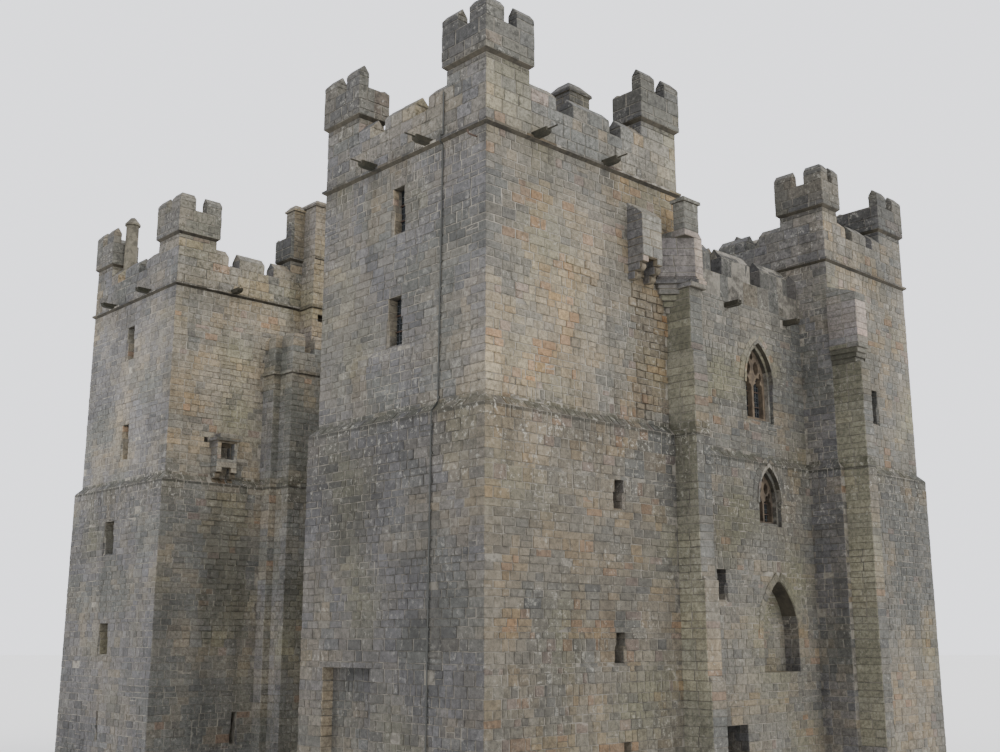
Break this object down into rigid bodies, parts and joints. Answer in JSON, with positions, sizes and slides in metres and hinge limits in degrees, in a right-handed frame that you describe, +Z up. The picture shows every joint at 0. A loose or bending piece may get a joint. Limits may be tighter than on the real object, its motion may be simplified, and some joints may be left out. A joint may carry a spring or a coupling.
{
  "type": "castle keep",
  "caption": "Battlemented stone keep: four square corner towers with raised corner turrets round a lower hall, with box machicolations, piers and traceried windows.",
  "frame": {"origin": "centre of the plan at ground level, under the hall's ground floor", "axes": "+Z up; -Y towards the end with the near tower and the short hall front; +Y along the long side; -X towards the side with the two broad towers"},
  "size_m": [23.23, 27.44, 22.82],
  "materials": {
    "stone_lower": "matte",
    "stone_upper": "matte",
    "stone_dark": "matte",
    "stone_dressed": "matte",
    "timber": "matte",
    "lead": "matte",
    "glass": "gloss"
  },
  "bodies": {
    "root": {"near_lower_walls": "stone_lower", "near_upper_walls": "stone_upper", "near_parapet": "stone_dark", "near_floors": "timber", "near_roof": "lead", "left_lower_walls": "stone_lower", "left_upper_walls": "stone_upper", "left_parapet": "stone_dark", "left_floors": "timber", "left_roof": "lead", "right_lower_walls": "stone_lower", "right_upper_walls": "stone_upper", "right_parapet": "stone_dark", "right_floors": "timber", "right_roof": "lead", "back_lower_walls": "stone_lower", "back_upper_walls": "stone_upper", "back_parapet": "stone_dark", "back_floors": "timber", "back_roof": "lead", "hall_front_wall": "stone_upper", "hall_back_wall": "stone_upper", "hall_left_wall": "stone_lower", "hall_right_wall": "stone_lower", "hall_parapets": "stone_dark", "hall_floors": "timber", "hall_roof": "lead", "front_tracery": "stone_dressed", "back_tracery": "stone_dressed", "near_pier": "stone_lower", "right_pier": "stone_lower", "left_pier": "stone_lower", "back_pier": "stone_lower", "stair_turret": "stone_upper", "garderobe_turret": "stone_lower", "chimneys": "stone_dark", "near_machicolation": "stone_dressed", "left_machicolation": "stone_lower", "waterspouts": "stone_dark", "leaded_glass": "glass"}
  },
  "joints": []
}
